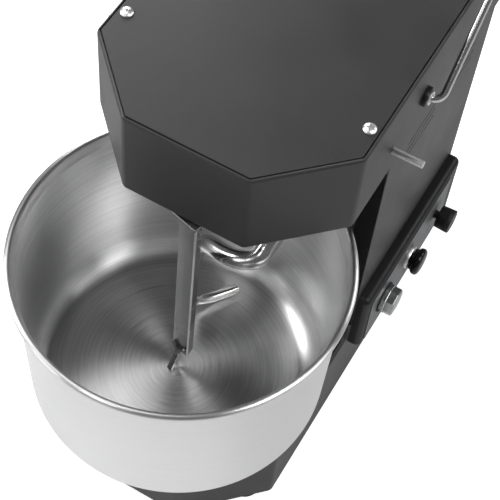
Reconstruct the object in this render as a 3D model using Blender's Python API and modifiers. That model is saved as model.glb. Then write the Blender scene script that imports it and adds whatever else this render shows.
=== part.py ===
"""Tabletop spiral dough mixer: a bent-steel housing with a head over a turning bowl, a spiral hook,
a fixed breaker bar, a lift-up bowl guard, side controls, and a belt and chain drive inside.

Metres, +Z up, the machine's front faces -Y. The bowl's axis is the machine's own origin in plan.
"""

import math

import bmesh
import bpy
from mathutils import Matrix, Vector

# --- driving dimensions -----------------------------------------------------------------------
CENTRE_X = -0.00175         # puts the middle of the whole machine's box on the origin
CENTRE_Y = -0.1161
GAP = 0.0003                # air between pieces that touch

HALF_WIDTH = 0.1125         # housing, outer
WALL = 0.002
BEND = 0.003                # outer bend radius of the sheet
BODY_BOTTOM = 0.0152
HEAD_FLOOR = 0.0035         # thickness of the sheet stack under the head
TRIM = 0.010                # extra height below the housing, cut off after its edges are rounded
DECK_TOP = 0.112
HEAD_BOTTOM = 0.3705
TOP = 0.457
BASE_FRONT = -0.0785
BASE_CHAMFER = 0.066
HEAD_FRONT = -0.0015
HEAD_CHAMFER = 0.060
HEAD_REAR = 0.343
REAR_BOTTOM = 0.3718        # underside of the head where it overhangs the column at the back
COLUMN_FRONT = 0.120        # front edge of the column's side wings
COLUMN_RECESS = 0.025       # how far the middle of the column front stands behind the wings
COLUMN_REAR = 0.319
COVER_INSET = 0.0021
COVER_THICK = 0.002
COVER_SEAT = 0.018          # width of the flange under the cover's edge
SCREW_X = 0.102
SCREW_YS = (0.084, 0.300)

BOWL_RADIUS = 0.140         # over the rolled rim
BOWL_TOP = 0.3123
BOWL_BOTTOM = 0.131
BOWL_WALL = (0.1332, 0.1293)    # outer radius of the wall under the lip and above the fillet
BOWL_FILLET = 0.025
BEAD = 0.003                # radius of the rolled rim
BOWL_SHEET = 0.0015

HOOK_X = 0.032
HOOK_Y = 0.063
HOOK_ROD = 0.008            # radius at the hub
BAR_WIDTH = 0.0185
BAR_THICK = 0.008
BAR_CENTRE = (0.002, 0.007)
BAR_TURN = math.radians(-14.4)
BAR_LEAN = 0.0016           # half the sideways distance between the bar's foot and its head
BAR_BOTTOM = 0.1535

PIVOT_Y = 0.169             # guard hinge
PIVOT_Z = 0.412
GUARD_ROD = 0.003
ARM_X = 0.1258
GUARD_OPEN = math.radians(-132.8)
STOP_PIN_Y = 0.116
STOP_PIN_Z = 0.403

BOX_DEPTH = 0.0112          # control box on the +X side
BOX_Y = (0.1225, 0.3145)
BOX_Z = (0.091, 0.173)
BOX_ROUND = 0.006
CONTROL_Z = 0.135
KNOB_Y = 0.2682
STOP_Y = 0.2114
START_Y = 0.1599

LAYSHAFT = (-0.055, 0.190)
MOTOR = (0.035, 0.248)
BELT_Z = 0.400
TOP_CHAIN_Z = 0.382
BOTTOM_CHAIN_Z = 0.060
MOTOR_PULLEY_R = 0.020
LAY_PULLEY_R = 0.045
LAY_TOP_TEETH = 18
HOOK_TEETH = 20
LAY_BOTTOM_TEETH = 12
BOWL_TEETH = 60
TOOTH_PITCH = 0.00635

COLOURS = {
    "painted_steel": ((0.085, 0.086, 0.088), 0.45, 0.3),
    "stainless": ((0.62, 0.62, 0.61), 0.28, 1.0),
    "polished_stainless": ((0.70, 0.70, 0.70), 0.12, 1.0),
    "zinc_steel": ((0.66, 0.66, 0.64), 0.25, 1.0),
    "black_plastic": ((0.02, 0.02, 0.022), 0.35, 0.0),
    "clear_grey_plastic": ((0.62, 0.63, 0.64), 0.2, 0.0),
    "label_foil": ((0.45, 0.46, 0.47), 0.4, 0.0),
    "rubber": ((0.025, 0.025, 0.025), 0.7, 0.0),
    "cast_iron": ((0.12, 0.13, 0.14), 0.55, 0.6),
    "dark_steel": ((0.25, 0.25, 0.26), 0.4, 1.0),
}

MACHINE = None              # the empty that everything hangs from
PARTS = None
CUTTERS = None


# --- small helpers ----------------------------------------------------------------------------
def clear_scene():
    for obj in list(bpy.data.objects):
        bpy.data.objects.remove(obj, do_unlink=True)


def new_collection(name):
    coll = bpy.data.collections.new(name)
    bpy.context.scene.collection.children.link(coll)
    return coll


def material(name):
    mat = bpy.data.materials.get(name)
    if mat is None:
        colour, roughness, metallic = COLOURS[name]
        mat = bpy.data.materials.new(name)
        mat.use_nodes = True
        shader = mat.node_tree.nodes["Principled BSDF"]
        shader.inputs["Base Color"].default_value = (*colour, 1.0)
        shader.inputs["Roughness"].default_value = roughness
        shader.inputs["Metallic"].default_value = metallic
    return mat


def place(obj, mat=None, parent=None, cutter=False):
    """Put an object in its collection, under its parent, with its material."""
    for coll in list(obj.users_collection):
        coll.objects.unlink(obj)
    (CUTTERS if cutter else PARTS).objects.link(obj)
    obj.parent = parent or MACHINE
    if cutter:
        obj.hide_render = True
        obj.display_type = "WIRE"
    if mat and not obj.data.materials:
        obj.data.materials.append(material(mat))
    return obj


def mesh_object(name, bm, location=(0, 0, 0), **kw):
    bmesh.ops.recalc_face_normals(bm, faces=bm.faces)
    mesh = bpy.data.meshes.new(name)
    bm.to_mesh(mesh)
    bm.free()
    obj = bpy.data.objects.new(name, mesh)
    obj.location = location
    return place(obj, **kw)


def smooth(obj, angle=math.radians(35)):
    obj.data.shade_smooth()
    obj.data.set_sharp_from_angle(angle=angle)
    return obj


def box_mesh(low, high):
    bm = bmesh.new()
    bmesh.ops.create_cube(bm, size=1.0)
    size = Vector(high) - Vector(low)
    bmesh.ops.scale(bm, vec=size, verts=bm.verts)
    bmesh.ops.translate(bm, vec=(Vector(low) + Vector(high)) / 2, verts=bm.verts)
    return bm


def box(name, low, high, bevel=0.0, segments=2, **kw):
    obj = mesh_object(name, box_mesh(low, high), **kw)
    if bevel:
        add_bevel(obj, bevel, segments)
    return obj


def add_bevel(obj, width, segments=2, angle=math.radians(30)):
    mod = obj.modifiers.new("edge_rounding", "BEVEL")
    mod.width = width
    mod.segments = segments
    mod.limit_method = "ANGLE"
    mod.angle_limit = angle
    return mod


def cut(obj, tool, operation="DIFFERENCE"):
    mod = obj.modifiers.new(operation.lower() + "_" + tool.name, "BOOLEAN")
    mod.operation = operation
    mod.solver = "EXACT"
    mod.object = tool


def cylinder(name, radius, length, centre, axis="Z", sides=24, **kw):
    bm = bmesh.new()
    bmesh.ops.create_cone(bm, cap_ends=True, segments=sides, radius1=radius, radius2=radius, depth=length)
    obj = mesh_object(name, bm, location=centre, **kw)
    if axis == "X":
        obj.rotation_euler = (0, math.pi / 2, 0)
    if axis == "Y":
        obj.rotation_euler = (math.pi / 2, 0, 0)
    return obj


def turned(name, profile, location, mat, axis="Z", steps=32, parent=None):
    """A lathe shape: the profile (radius, height) runs down its outer side, top to bottom."""
    mesh = bpy.data.meshes.new(name)
    mesh.from_pydata([(r, 0, z) for r, z in profile], [(i, i + 1) for i in range(len(profile) - 1)], [])
    obj = bpy.data.objects.new(name, mesh)
    obj.location = location
    if axis == "X":
        obj.rotation_euler = (0, math.pi / 2, 0)
    place(obj, mat=mat, parent=parent)
    mod = obj.modifiers.new("lathe", "SCREW")
    mod.steps = steps
    mod.render_steps = steps
    mod.use_merge_vertices = True
    mod.merge_threshold = 0.00001
    mod.use_smooth_shade = True
    return obj


def ring(name, inner, outer, low, high, location, mat, axis="Z", steps=32):
    profile = [(inner, low), (inner, high), (outer, high), (outer, low), (inner, low)]
    return turned(name, profile, location, mat, axis=axis, steps=steps)


def to_mesh(obj, mat, parent=None, cutter=False, flat_caps=False):
    """Turn a curve object into a welded mesh object of the same name; flat_caps joins cap triangles."""
    bpy.context.view_layer.update()
    graph = bpy.context.evaluated_depsgraph_get()
    mesh = bpy.data.meshes.new_from_object(obj.evaluated_get(graph))
    bm = bmesh.new()
    bm.from_mesh(mesh)
    bmesh.ops.remove_doubles(bm, verts=bm.verts, dist=0.00001)
    if flat_caps:
        bmesh.ops.dissolve_limit(bm, angle_limit=0.001, verts=bm.verts, edges=bm.edges)
    bmesh.ops.recalc_face_normals(bm, faces=bm.faces)
    bm.to_mesh(mesh)
    bm.free()
    name, matrix = obj.name, obj.matrix_basis.copy()
    bpy.data.objects.remove(obj, do_unlink=True)
    made = bpy.data.objects.new(name, mesh)
    made.matrix_basis = matrix
    return place(made, mat=mat, parent=parent, cutter=cutter)


def outline_prism(name, outline, low, high, mat=None, side_view=False, cutter=False):
    """A flat outline given a thickness: in plan from low to high, or seen from the side along X."""
    curve = bpy.data.curves.new(name, "CURVE")
    curve.dimensions = "2D"
    curve.fill_mode = "BOTH"
    curve.extrude = (high - low) / 2
    spline = curve.splines.new("POLY")
    spline.points.add(len(outline) - 1)
    for point, (a, b) in zip(spline.points, outline):
        point.co = (a, b, 0, 1)
    spline.use_cyclic_u = True
    obj = bpy.data.objects.new(name, curve)
    bpy.context.scene.collection.objects.link(obj)
    if side_view:
        obj.rotation_euler = (math.pi / 2, 0, math.pi / 2)
        obj.location = ((low + high) / 2, 0, 0)
    else:
        obj.location = (0, 0, (low + high) / 2)
    return to_mesh(obj, mat, cutter=cutter, flat_caps=True)


def wire(name, points, radius, mat, parent=None, radii=None, sides=2, as_mesh=False):
    """A round rod along points, with flat capped ends; radii scales it point by point."""
    curve = bpy.data.curves.new(name, "CURVE")
    curve.dimensions = "3D"
    curve.bevel_depth = radius
    curve.bevel_resolution = sides
    curve.use_fill_caps = True
    spline = curve.splines.new("POLY")
    spline.points.add(len(points) - 1)
    for i, (point, co) in enumerate(zip(spline.points, points)):
        point.co = (*co, 1)
        point.radius = radii[i] if radii else 1.0
    obj = bpy.data.objects.new(name, curve)
    if as_mesh:
        bpy.context.scene.collection.objects.link(obj)
        return to_mesh(obj, mat, parent=parent)
    return place(obj, mat=mat, parent=parent)


def arc(centre, radius, start, end, count):
    """Points on a circle in plan, angles in degrees, both ends included."""
    steps = [math.radians(start + (end - start) * i / (count - 1)) for i in range(count)]
    return [(centre[0] + radius * math.cos(t), centre[1] + radius * math.sin(t)) for t in steps]


def mirrored(half):
    """Close a plan outline: the +X half, front to rear, then its mirror image back to the front."""
    return half + [(-x, y) for x, y in reversed(half)]


def shell_outline(front, chamfer, rear, inset):
    """A plan outline with two chamfered front corners, moved inwards by inset all round."""
    slope = inset * math.tan(math.radians(22.5))
    half = HALF_WIDTH - inset
    return mirrored([
        (HALF_WIDTH - chamfer - slope, front + inset),
        (half, front + chamfer + slope),
        (half, rear - inset),
    ])


def smooth_path(points, per_span):
    """Points of a Catmull-Rom curve through the given points (any number of values each)."""
    ends = [points[0]] + list(points) + [points[-1]]
    path = []
    for k in range(len(points) - 1):
        p0, p1, p2, p3 = ends[k:k + 4]
        for i in range(per_span):
            t = i / per_span
            path.append(tuple(
                0.5 * (2 * b + (c - a) * t + (2 * a - 5 * b + 4 * c - d) * t ** 2
                       + (3 * b - a - 3 * c + d) * t ** 3)
                for a, b, c, d in zip(p0, p1, p2, p3)))
    path.append(tuple(points[-1]))
    return path


# --- housing ----------------------------------------------------------------------------------
def housing_profile():
    """Side view of the C-shaped housing (y, z), with a curved corner where deck meets column."""
    corner = [(COLUMN_FRONT - 0.012 + 0.012 * math.sin(t), DECK_TOP + 0.012 - 0.012 * math.cos(t))
              for t in (math.radians(15 * i) for i in range(7))]
    low = BODY_BOTTOM - TRIM
    return [(BASE_FRONT, low), (BASE_FRONT, DECK_TOP)] + corner + [
        (COLUMN_FRONT, HEAD_BOTTOM), (HEAD_FRONT, HEAD_BOTTOM), (HEAD_FRONT, TOP), (HEAD_REAR, TOP),
        (HEAD_REAR, REAR_BOTTOM), (COLUMN_REAR, REAR_BOTTOM), (COLUMN_REAR, low)]


def corner_wedges(name, front, chamfer, low, high):
    """Cutters that take the two front corners off a block, at 45 degrees."""
    out = 0.02
    for side in (-1, 1):
        outline = [(side * (HALF_WIDTH - chamfer - out), front - out),
                   (side * (HALF_WIDTH + out), front - out),
                   (side * (HALF_WIDTH + out), front + chamfer + out)]
        yield outline_prism("%s_wedge_%s" % (name, "lr"[side > 0]), outline, low, high, cutter=True)


def make_housing():
    body = outline_prism("housing", housing_profile(), -HALF_WIDTH, HALF_WIDTH, "painted_steel",
                         side_view=True)
    for wedge in corner_wedges("head", HEAD_FRONT, HEAD_CHAMFER, HEAD_BOTTOM - 0.02, TOP + 0.02):
        cut(body, wedge)
    for wedge in corner_wedges("base", BASE_FRONT, BASE_CHAMFER, BODY_BOTTOM - 0.02, DECK_TOP + 0.02):
        cut(body, wedge)
    add_bevel(body, BEND)
    for tool in housing_cutters():
        cut(body, tool)
    return smooth(body)


def housing_cutters():
    yield box("bottom_trim", (-0.2, -0.2, BODY_BOTTOM - 2 * TRIM), (0.2, 0.4, BODY_BOTTOM), cutter=True)
    recess = mirrored([
        (HALF_WIDTH + 0.0108, COLUMN_FRONT - 0.01),
        (HALF_WIDTH - COLUMN_RECESS, COLUMN_FRONT + COLUMN_RECESS + 0.0008),
    ])
    yield outline_prism("column_recess", recess, DECK_TOP + 0.016, HEAD_BOTTOM - 0.004, cutter=True)
    seat = shell_outline(HEAD_FRONT, HEAD_CHAMFER, HEAD_REAR, COVER_INSET)
    yield outline_prism("cover_recess", seat, TOP - COVER_THICK - GAP, TOP + 0.01, cutter=True)
    mouth = shell_outline(HEAD_FRONT, HEAD_CHAMFER, HEAD_REAR, COVER_SEAT)
    yield outline_prism("head_mouth", mouth, TOP - 0.01, TOP + 0.01, cutter=True)
    hollow = shell_outline(HEAD_FRONT, HEAD_CHAMFER, HEAD_REAR, WALL)
    yield outline_prism("head_hollow", hollow, HEAD_BOTTOM + HEAD_FLOOR, TOP - 2 * COVER_THICK, cutter=True)
    inner = HALF_WIDTH - WALL
    yield box("column_hollow", (-inner, COLUMN_FRONT + COLUMN_RECESS + WALL, DECK_TOP - 0.01),
              (inner, COLUMN_REAR - WALL, HEAD_BOTTOM + 0.01), cutter=True)
    floor = shell_outline(BASE_FRONT, BASE_CHAMFER, COLUMN_REAR, WALL)
    yield outline_prism("base_hollow", floor, BODY_BOTTOM - TRIM / 2, DECK_TOP - WALL, cutter=True)
    yield box("rear_mouth", (-0.080, COLUMN_REAR - 0.01, 0.150), (0.080, COLUMN_REAR + 0.01, 0.340),
              cutter=True)
    yield vent_cutter()
    yield cylinder("bowl_shaft_hole", 0.0165, 0.02, (0, 0, DECK_TOP), cutter=True)
    yield cylinder("hook_shaft_hole", 0.0165, 0.02, (HOOK_X, HOOK_Y, HEAD_BOTTOM), cutter=True)
    yield cylinder("pivot_hole", 0.0055, 0.3, (0, PIVOT_Y, PIVOT_Z), axis="X", cutter=True)
    yield cylinder("gland_hole", 0.0085, 0.02, (-0.05, COLUMN_REAR, 0.060), axis="Y", cutter=True)
    for n, (x, y) in enumerate(cover_screw_places()):
        yield cylinder("flange_hole_%d" % (n + 1), 0.0028, 0.02, (x, y, TOP), sides=12, cutter=True)


def vent_cutter():
    """Three rows of thin slots in two columns, through both side walls."""
    bm = bmesh.new()
    for start in (0.1576, 0.2302):
        for row in range(3):
            low = (-0.13, start, 0.3427 + 0.0094 * row)
            high = (0.13, start + 0.0525, low[2] + 0.0014)
            part = box_mesh(low, high)
            mesh = bpy.data.meshes.new("slot")
            part.to_mesh(mesh)
            part.free()
            bm.from_mesh(mesh)
            bpy.data.meshes.remove(mesh)
    return mesh_object("vent_slots", bm, cutter=True)


def cover_screw_places():
    return [(side * SCREW_X, y) for y in SCREW_YS for side in (-1, 1)]


def make_top_cover():
    outline = shell_outline(HEAD_FRONT, HEAD_CHAMFER, HEAD_REAR, COVER_INSET + GAP)
    cover = outline_prism("top_cover", outline, TOP - COVER_THICK, TOP, "painted_steel")
    for n, (x, y) in enumerate(cover_screw_places()):
        cut(cover, cylinder("cover_hole_%d" % (n + 1), 0.0027, 0.02, (x, y, TOP), sides=12, cutter=True))
        pan_screw("cover_screw_%d" % (n + 1), (x, y, TOP + GAP))


def pan_screw(name, location, axis="Z", turn=0.0):
    """A pan-head machine screw: domed head and a plain shank below it."""
    dome = [(0.0055 * math.cos(t), 0.0026 * math.sin(t)) for t in (math.radians(a) for a in (88, 60, 32, 8))]
    dome[0] = (0, 0.0026)
    profile = dome + [(0.0055, 0), (0.0023, 0), (0.0023, -0.0045), (0, -0.0045)]
    screw = turned(name, profile, location, "zinc_steel", steps=16)
    if axis == "Y":
        screw.rotation_euler = (-math.pi / 2, 0, 0)
    return screw


def make_rear_panel():
    y = COLUMN_REAR + GAP
    panel = box("rear_panel", (-0.092, y, 0.138), (0.092, y + 0.0015, 0.352), mat="painted_steel")
    for n, x in enumerate((-0.084, 0.084)):
        hole = cylinder("rear_hole_%d" % (n + 1), 0.0027, 0.02, (x, y, 0.344), axis="Y", sides=12, cutter=True)
        cut(panel, hole)
        rear_cut = cylinder("rear_wall_hole_%d" % (n + 1), 0.0027, 0.02, (x, y, 0.344), axis="Y", sides=12,
                            cutter=True)
        cut(bpy.data.objects["housing"], rear_cut)
        pan_screw("rear_screw_%d" % (n + 1), (x, y + 0.0015 + GAP, 0.344), axis="Y")


def make_base_fittings():
    outline = shell_outline(BASE_FRONT, BASE_CHAMFER, COLUMN_REAR, WALL + GAP)
    outline_prism("bottom_plate", outline, BODY_BOTTOM, BODY_BOTTOM + 0.0015, "painted_steel")
    foot = [(0, BODY_BOTTOM - GAP), (0.0135, BODY_BOTTOM - GAP), (0.0165, 0.002), (0.0150, 0), (0, 0)]
    for n, (x, y) in enumerate(((-0.084, -0.012), (0.084, -0.012), (-0.088, 0.290), (0.088, 0.290))):
        turned("foot_%d" % (n + 1), foot, (x, y, 0), "rubber", steps=20)
    gland = [(0.0045, 0.016), (0.0065, 0.016), (0.0090, 0.012), (0.0100, 0.0095), (0.0125, 0.0095),
             (0.0125, 0.0033), (0.0078, 0.0033), (0.0078, -0.006), (0.0045, -0.006), (0.0045, 0.016)]
    obj = turned("cable_gland", gland, (-0.05, COLUMN_REAR - WALL - 0.001, 0.060), "black_plastic", steps=24)
    obj.rotation_euler = (-math.pi / 2, 0, 0)


# --- controls ---------------------------------------------------------------------------------
def make_control_box():
    x = HALF_WIDTH + GAP
    face = x + BOX_DEPTH
    body = box("control_box", (x, BOX_Y[0], BOX_Z[0]), (face, BOX_Y[1], BOX_Z[1]), mat="painted_steel")
    round_outer_edges(body, face)
    smooth(body)
    margin = BOX_ROUND + 0.0008
    label = box("control_label", (face + GAP, BOX_Y[0] + margin, BOX_Z[0] + margin),
                (face + 0.0009, BOX_Y[1] - 3 * margin, BOX_Z[1] - margin), mat="label_foil")
    for name, y, radius in (("knob", KNOB_Y, 0.0047), ("stop", STOP_Y, 0.0067), ("start", START_Y, 0.0067)):
        hole = cylinder(name + "_hole", radius, 0.0215, (face, y, CONTROL_Z), axis="X", cutter=True)
        cut(label, hole)
        cut(body, hole)


def round_outer_edges(obj, face):
    """Round the edges that bound the box's outer face, and the four that run back from its corners."""
    bm = bmesh.new()
    bm.from_mesh(obj.data)
    picked = [e for e in bm.edges if max(v.co.x for v in e.verts) > face - 0.0001]
    bmesh.ops.bevel(bm, geom=picked, offset=BOX_ROUND, segments=4, profile=0.5, affect="EDGES")
    bm.to_mesh(obj.data)
    bm.free()


def make_controls():
    face = HALF_WIDTH + GAP + BOX_DEPTH + 0.0009 + GAP
    knob = [(0, 0.0183), (0.0110, 0.0183), (0.0117, 0.0175), (0.0111, 0.0040), (0.0040, 0.0040),
            (0.0040, -0.0060), (0, -0.0060)]
    turned("speed_knob", knob, (face, KNOB_Y, CONTROL_Z), "black_plastic", axis="X", steps=32)
    bezel = [(0.0055, 0.0006), (0.0106, 0.0006), (0.0106, 0.0024), (0.0110, 0.0026), (0.0115, 0.0020),
             (0.0115, 0), (0.0063, 0), (0.0063, -0.0065), (0.0055, -0.0065), (0.0055, 0.0006)]
    turned("stop_ring", bezel, (face, STOP_Y, CONTROL_Z), "zinc_steel", axis="X")
    mushroom = [(0, 0.0150), (0.0095, 0.0146), (0.0122, 0.0134), (0.0133, 0.0112), (0.0130, 0.0094),
                (0.0108, 0.0062), (0.0102, 0.0038), (0.0050, 0.0038), (0.0050, -0.0060), (0, -0.0060)]
    turned("stop_button", mushroom, (face, STOP_Y, CONTROL_Z), "black_plastic", axis="X")
    sleeve = [(0.0055, 0.0006), (0.0141, 0.0006), (0.0141, 0.0052), (0.01455, 0.0050), (0.01455, 0),
              (0.0063, 0), (0.0063, -0.0065), (0.0055, -0.0065), (0.0055, 0.0006)]
    turned("start_bezel", sleeve, (face, START_Y, CONTROL_Z), "clear_grey_plastic", axis="X", steps=8)
    lens = [(0, 0.0134), (0.0126, 0.0134), (0.0138, 0.0124), (0.0138, 0.0034), (0.0050, 0.0034),
            (0.0050, -0.0060), (0, -0.0060)]
    turned("start_button", lens, (face, START_Y, CONTROL_Z), "clear_grey_plastic", axis="X", steps=8)


# --- bowl and tools ---------------------------------------------------------------------------
def bowl_profile():
    """Inner floor centre, up the inside, over the lip and rolled rim, down the outside to the centre."""
    wall_top, wall_low = BOWL_WALL
    t = BOWL_SHEET
    steps = [math.radians(15 * i) for i in range(7)]
    low = [(wall_low - BOWL_FILLET + (BOWL_FILLET - t) * math.sin(a),
            BOWL_BOTTOM + BOWL_FILLET - (BOWL_FILLET - t) * math.cos(a)) for a in steps]
    centre_r, centre_z = BOWL_RADIUS - BEAD, BOWL_TOP - BEAD
    bead = [(centre_r + BEAD * math.cos(a), centre_z + BEAD * math.sin(a))
            for a in (math.radians(d) for d in (150, 105, 60, 15, -30, -75))]
    lip_in = [(wall_top - t, centre_z - 0.0085), (wall_top + 0.0004, centre_z - 0.0023)]
    lip_out = [(wall_top + 0.0014, centre_z - 0.0043), (wall_top, centre_z - 0.0085)]
    outer = [(wall_low - BOWL_FILLET + BOWL_FILLET * math.sin(a),
              BOWL_BOTTOM + BOWL_FILLET - BOWL_FILLET * math.cos(a)) for a in reversed(steps)]
    return [(0, BOWL_BOTTOM + t)] + low + lip_in + bead + lip_out + outer + [(0, BOWL_BOTTOM)]


def make_bowl():
    turned("bowl", bowl_profile(), (0, 0, 0), "stainless", steps=56)
    top = BOWL_BOTTOM - GAP
    hub = [(0, top), (0.045, top), (0.047, top - 0.003), (0.030, top - 0.009), (0.0235, DECK_TOP + 0.0045),
           (0.0120, DECK_TOP + 0.0045), (0.0120, 0.042), (0, 0.042)]
    turned("bowl_shaft", hub, (0, 0, 0), "dark_steel")
    seat = [(0.0125, DECK_TOP + 0.0040), (0.0220, DECK_TOP + 0.0040), (0.0240, DECK_TOP + 0.0020),
            (0.0240, DECK_TOP + GAP), (0.0160, DECK_TOP + GAP), (0.0160, DECK_TOP - 0.026),
            (0.0125, DECK_TOP - 0.026), (0.0125, DECK_TOP + 0.0040)]
    turned("bowl_bearing", seat, (0, 0, 0), "dark_steel")
    sprocket("bowl_sprocket", BOWL_TEETH, (0, 0, BOTTOM_CHAIN_Z), 0.0125, 0.006)


def hook_route():
    """(x, y, z, radius share) along the hook: out of the hub, round the front, down, and a low tail."""
    stations = [(75, 6, 0.3570, 1.0), (40, 12, 0.3545, 1.0), (8, 20, 0.3470, 1.0), (-25, 27, 0.3340, 1.0),
                (-47, 33, 0.3230, 1.0), (-56, 38, 0.3180, 1.0), (-66, 39.2, 0.3135, 1.0),
                (-82, 38.4, 0.3084, 1.0), (-103, 36.3, 0.3015, 1.0), (-122, 37, 0.2955, 1.0),
                (-138, 40, 0.2870, 1.0), (-149, 44.5, 0.2700, 0.96), (-155, 48, 0.2480, 0.88),
                (-158, 50, 0.2220, 0.79), (-161, 50.6, 0.1950, 0.71), (-164, 50.8, 0.1700, 0.65),
                (-168, 50.6, 0.1530, 0.61), (-175, 49, 0.1470, 0.60), (-184, 45, 0.1425, 0.60),
                (-195, 40.6, 0.1402, 0.60), (-216, 37.9, 0.1395, 0.60), (-231, 39.5, 0.1395, 0.60)]
    spots = [(HOOK_X + r / 1000 * math.cos(math.radians(a)), HOOK_Y + r / 1000 * math.sin(math.radians(a)),
              z, share) for a, r, z, share in stations]
    return smooth_path(spots, 3)


def make_hook():
    route = hook_route()
    rod = wire("spiral_hook", [p[:3] for p in route], HOOK_ROD, "polished_stainless",
               radii=[p[3] for p in route], sides=4, as_mesh=True)
    hub = [(0, 0.3920), (0.0100, 0.3920), (0.0100, HEAD_BOTTOM - 0.0045), (0.0170, HEAD_BOTTOM - 0.0045),
           (0.0200, HEAD_BOTTOM - 0.0075), (0.0200, 0.3520), (0.0170, 0.3490), (0, 0.3490)]
    shaft = turned("hook_hub", hub, (HOOK_X, HOOK_Y, 0), "polished_stainless")
    place(shaft, cutter=True)
    cut(rod, shaft, "UNION")
    smooth(rod)
    seat = [(0.0105, HEAD_BOTTOM + 0.0060), (0.0160, HEAD_BOTTOM + 0.0060), (0.0160, HEAD_BOTTOM - GAP),
            (0.0260, HEAD_BOTTOM - GAP), (0.0250, HEAD_BOTTOM - 0.0035), (0.0105, HEAD_BOTTOM - 0.0035),
            (0.0105, HEAD_BOTTOM + 0.0060)]
    turned("hook_bearing", seat, (HOOK_X, HOOK_Y, 0), "dark_steel")


def bar_mesh(half, top):
    """The bar, leaning a little sideways, with its foot cut away at 45 degrees behind."""
    bm = box_mesh((-half[0], -half[1], BAR_BOTTOM), (half[0], half[1], top))
    middle = (BAR_BOTTOM + top) / 2
    for vert in bm.verts:
        foot = vert.co.z < middle
        vert.co.x += -BAR_LEAN if foot else BAR_LEAN
        if foot and vert.co.y > 0:
            vert.co.z += BAR_THICK
    return bm


def make_breaker():
    top = HEAD_BOTTOM - 0.0035
    half = (BAR_WIDTH / 2, BAR_THICK / 2)
    bar = mesh_object("breaker_bar", bar_mesh(half, top - GAP), (*BAR_CENTRE, 0), mat="polished_stainless")
    add_bevel(bar, 0.0006, segments=1)
    bar.rotation_euler = (0, 0, BAR_TURN)
    plate = box("breaker_flange", (-0.017, -0.010, top), (0.015, 0.014, HEAD_BOTTOM - GAP), bevel=0.0006,
                segments=1, location=(*BAR_CENTRE, 0), mat="polished_stainless")
    plate.rotation_euler = (0, 0, BAR_TURN)
    front = -half[1] - GAP
    outline = [(front, 0.1680), (front - 0.0022, 0.1680), (front - 0.0029, 0.1570), (front - 0.0121, 0.1368),
               (front - 0.0105, 0.1350), (front, 0.1530)]
    finger = outline_prism("breaker_finger", outline, -0.0041, 0.0009, "polished_stainless", side_view=True)
    finger.data.transform(finger.matrix_basis)
    finger.matrix_basis = Matrix.Translation((*BAR_CENTRE, 0)) @ Matrix.Rotation(BAR_TURN, 4, "Z")


# --- guard ------------------------------------------------------------------------------------
def guard_pivot():
    pivot = bpy.data.objects.new("guard_pivot", None)
    PARTS.objects.link(pivot)
    pivot.parent = MACHINE
    pivot.location = (0, PIVOT_Y, PIVOT_Z)
    pivot.rotation_euler = (GUARD_OPEN, 0, 0)
    return pivot


def make_guard():
    """The guard is drawn lowered, level with its hinge, and hangs from a pivot that holds it open."""
    pivot = guard_pivot()
    bend = 0.009
    corner = [(ARM_X - bend + bend * math.sin(t), -bend + bend * math.cos(t), 0)
              for t in (math.radians(15 * i) for i in range(7))]
    right = [(0.098, 0, 0)] + corner
    arch = [(x, y - PIVOT_Y, 0) for x, y in arc((0, 0), ARM_X, 0, -180, 25)]
    left = [(-x, y, z) for x, y, z in reversed(right)]
    wire("guard_hoop", right + arch + left, GUARD_ROD, "polished_stainless", parent=pivot)
    low_radius, low_z = 0.136, -0.078
    low = [(x, y - PIVOT_Y, low_z) for x, y in arc((0, 0), low_radius, -10, -170, 21)]
    wire("guard_rim_rod", low, 0.0025, "polished_stainless", parent=pivot)
    for n, angle in enumerate((-14, -52, -90, -128, -166)):
        slant = Vector((low_radius - ARM_X, low_z)).normalized()
        spots = []
        for radius, z, trim in ((ARM_X, 0.0, GUARD_ROD + GAP), (low_radius, low_z, -0.0025 - GAP)):
            r, h = radius + slant.x * trim, z + slant.y * trim
            a = math.radians(angle)
            spots.append((r * math.cos(a), r * math.sin(a) - PIVOT_Y, h))
        wire("guard_upright_%d" % (n + 1), spots, 0.0020, "polished_stainless", parent=pivot)
    for n, y in enumerate((-0.030, -0.062, -0.094)):
        half = math.sqrt((ARM_X - GUARD_ROD - GAP) ** 2 - y ** 2) - 0.0022
        spots = [(-half, y - PIVOT_Y, 0), (half, y - PIVOT_Y, 0)]
        wire("guard_cross_bar_%d" % (n + 1), spots, 0.0020, "polished_stainless", parent=pivot)


def make_guard_fittings():
    for side, tag in ((1, "right"), (-1, "left")):
        x = side * (HALF_WIDTH + GAP)
        bush = [(0.0034, 0.0036), (0.0078, 0.0036), (0.0083, 0.0028), (0.0083, 0), (0.0052, 0),
                (0.0052, -0.0060), (0.0034, -0.0060), (0.0034, 0.0036)]
        washer = [(0.0034, 0.0052), (0.0060, 0.0052), (0.0060, 0.0039), (0.0034, 0.0039), (0.0034, 0.0052)]
        for name, profile, mat in (("guard_bush_", bush, "black_plastic"), ("guard_washer_", washer,
                                                                           "zinc_steel")):
            obj = turned(name + tag, profile, (x, PIVOT_Y, PIVOT_Z), mat, steps=24)
            obj.rotation_euler = (0, side * math.pi / 2, 0)
        cylinder("stop_pin_" + tag, 0.0030, 0.0260, (side * (HALF_WIDTH + GAP + 0.0130), STOP_PIN_Y,
                                                     STOP_PIN_Z), axis="X", mat="zinc_steel", sides=16)


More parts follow.
